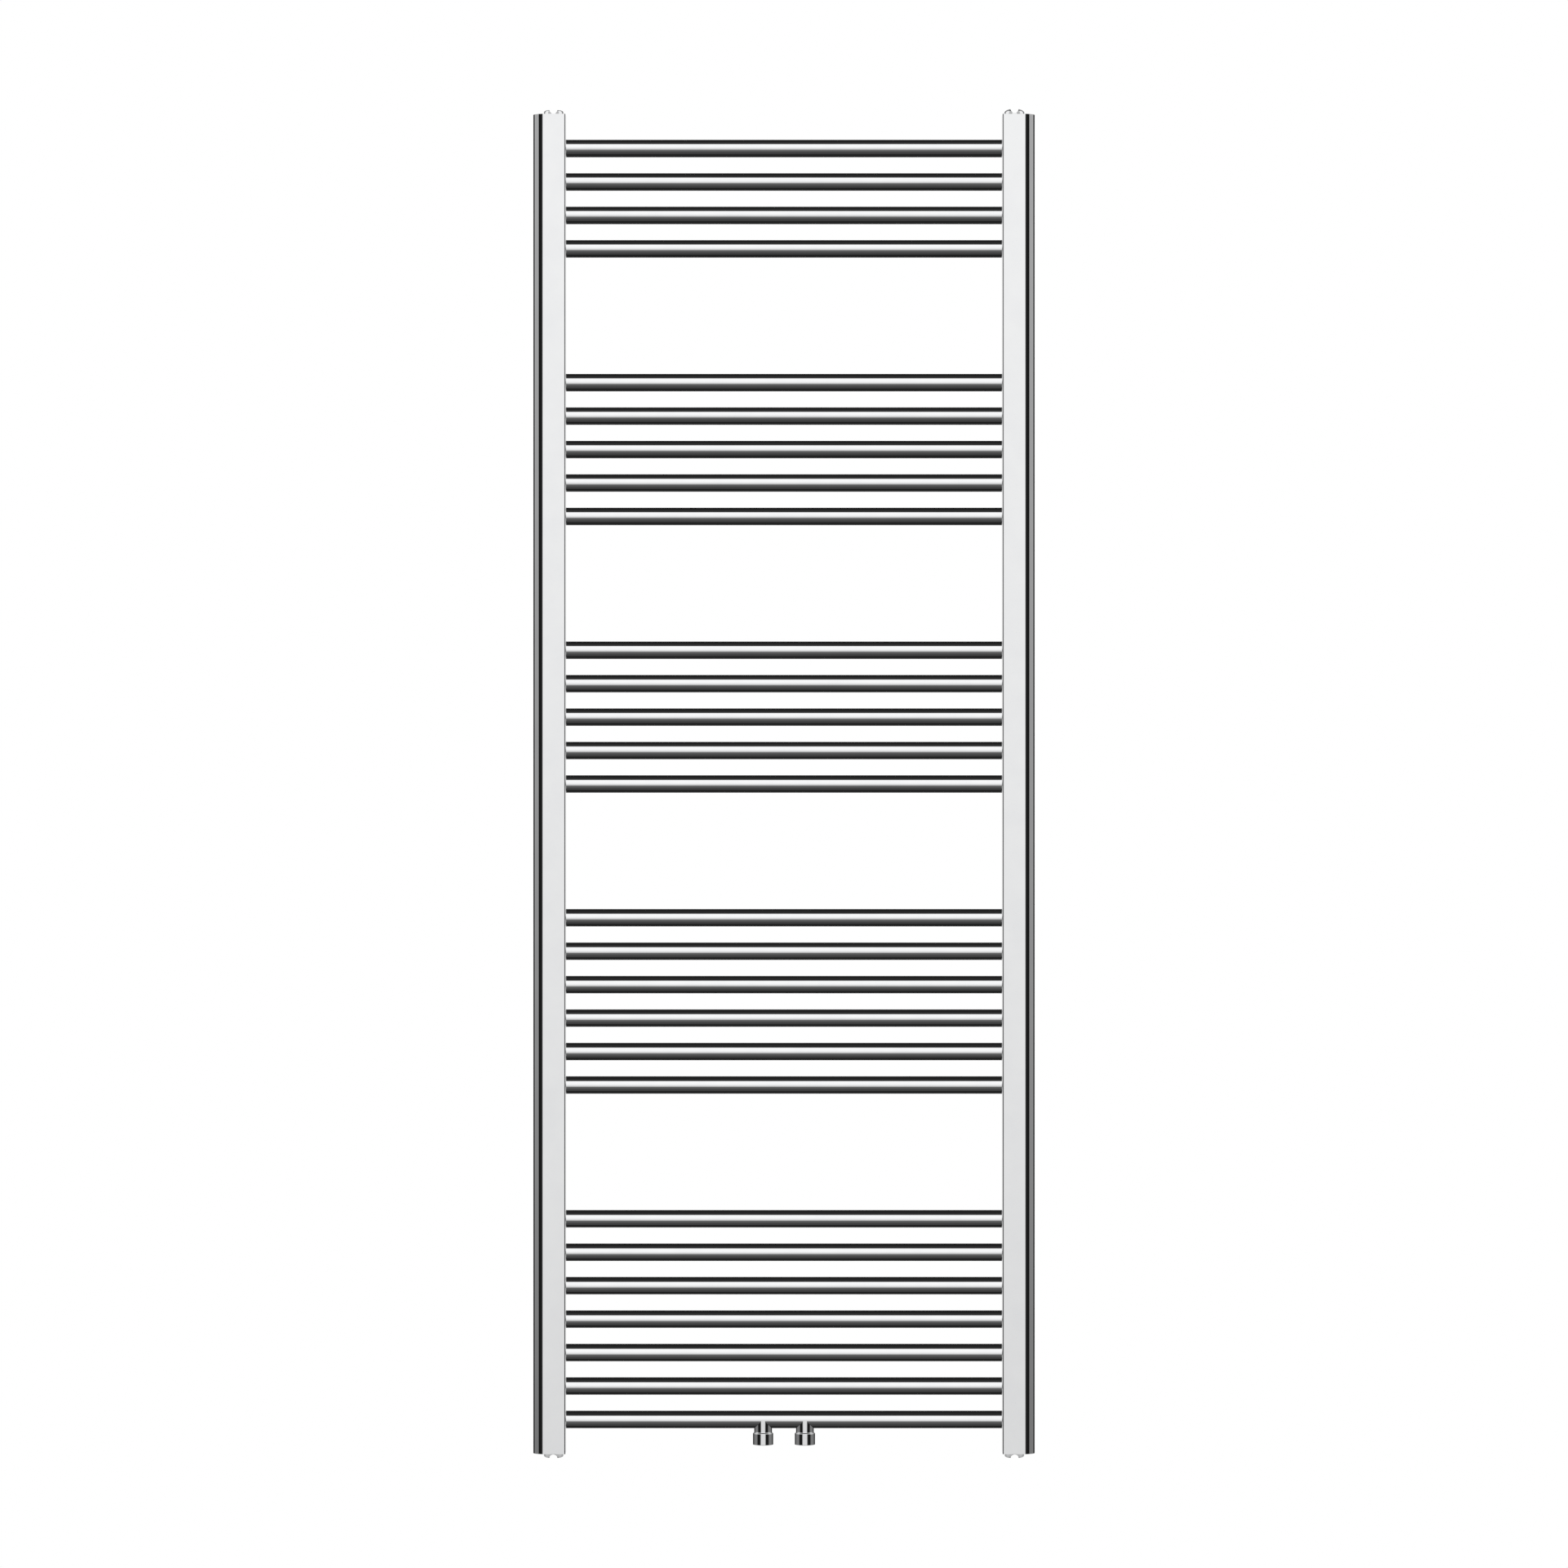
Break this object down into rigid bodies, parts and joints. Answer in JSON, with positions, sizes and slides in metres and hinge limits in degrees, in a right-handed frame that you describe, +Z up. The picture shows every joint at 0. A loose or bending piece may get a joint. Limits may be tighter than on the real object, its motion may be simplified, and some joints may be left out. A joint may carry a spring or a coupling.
{
  "type": "ladder towel radiator",
  "caption": "Tall chrome ladder towel radiator: round cross tubes in groups between D-shaped collectors, bottom middle connections and a swivel air vent.",
  "frame": {"origin": "centre of the bounding box in x and y, at the outer face of the bottom plugs", "axes": "+Z up along the collectors, +Y towards the wall, +X to the right as seen from the front, where the air vent is"},
  "size_m": [0.6, 0.03, 1.6118],
  "materials": {
    "collector_chrome": "bright",
    "tube_chrome": "bright",
    "socket_chrome": "bright",
    "plug_chrome": "bright",
    "end_plate_chrome": "bright",
    "vent_body_chrome": "bright",
    "vent_cap_chrome": "bright",
    "divider_steel": "mill",
    "ring_rubber": "matt",
    "screw_brass": "nickel plated",
    "seal_plastic": "matt"
  },
  "bodies": {
    "radiator": {"bottom_left_end_plate": "end_plate_chrome", "bottom_left_plug": "plug_chrome", "bottom_left_plug_o_ring": "ring_rubber", "bottom_right_end_plate": "end_plate_chrome", "bottom_right_plug": "plug_chrome", "bottom_right_plug_o_ring": "ring_rubber", "cross_tube_01": "tube_chrome", "cross_tube_02": "tube_chrome", "cross_tube_03": "tube_chrome", "cross_tube_04": "tube_chrome", "cross_tube_05": "tube_chrome", "cross_tube_06": "tube_chrome", "cross_tube_07": "tube_chrome", "cross_tube_08": "tube_chrome", "cross_tube_09": "tube_chrome", "cross_tube_10": "tube_chrome", "cross_tube_11": "tube_chrome", "cross_tube_12": "tube_chrome", "cross_tube_13": "tube_chrome", "cross_tube_14": "tube_chrome", "cross_tube_15": "tube_chrome", "cross_tube_16": "tube_chrome", "cross_tube_17": "tube_chrome", "cross_tube_18": "tube_chrome", "cross_tube_19": "tube_chrome", "cross_tube_20": "tube_chrome", "cross_tube_21": "tube_chrome", "cross_tube_22": "tube_chrome", "cross_tube_23": "tube_chrome", "cross_tube_24": "tube_chrome", "cross_tube_25": "tube_chrome", "cross_tube_26": "tube_chrome", "cross_tube_27": "tube_chrome", "flow_divider": "divider_steel", "left_collector": "collector_chrome", "left_connection_socket": "socket_chrome", "right_collector": "collector_chrome", "right_connection_socket": "socket_chrome", "top_left_end_plate": "end_plate_chrome", "top_left_plug": "plug_chrome", "top_left_plug_o_ring": "ring_rubber", "top_right_end_plate": "end_plate_chrome", "vent_body": "vent_body_chrome", "vent_o_ring": "ring_rubber"},
    "vent_cap": {"vent_cap": "vent_cap_chrome"},
    "bleed_seal": {"bleed_seal": "seal_plastic"},
    "bleed_screw": {"bleed_screw": "screw_brass"}
  },
  "joints": [
    {"name": "vent_cap_swivel", "type": "hinge", "parent": "radiator", "child": "vent_cap", "pos_m": [0.2755, 0, 1.605], "axis": [0, 0, 1], "continuous": true},
    {"name": "bleed_rise", "type": "slide", "parent": "radiator", "child": "bleed_seal", "axis": [0, 0, 1], "range_m": [0, 0.0008]},
    {"name": "bleed_turn", "type": "hinge", "parent": "bleed_seal", "child": "bleed_screw", "pos_m": [0.2755, 0, 1.605], "axis": [0, 0, 1], "range_deg": [0, 360]}
  ],
  "couplings": [
    {"joint": "bleed_turn", "follows": "bleed_rise", "rad_per_m": 7854}
  ]
}
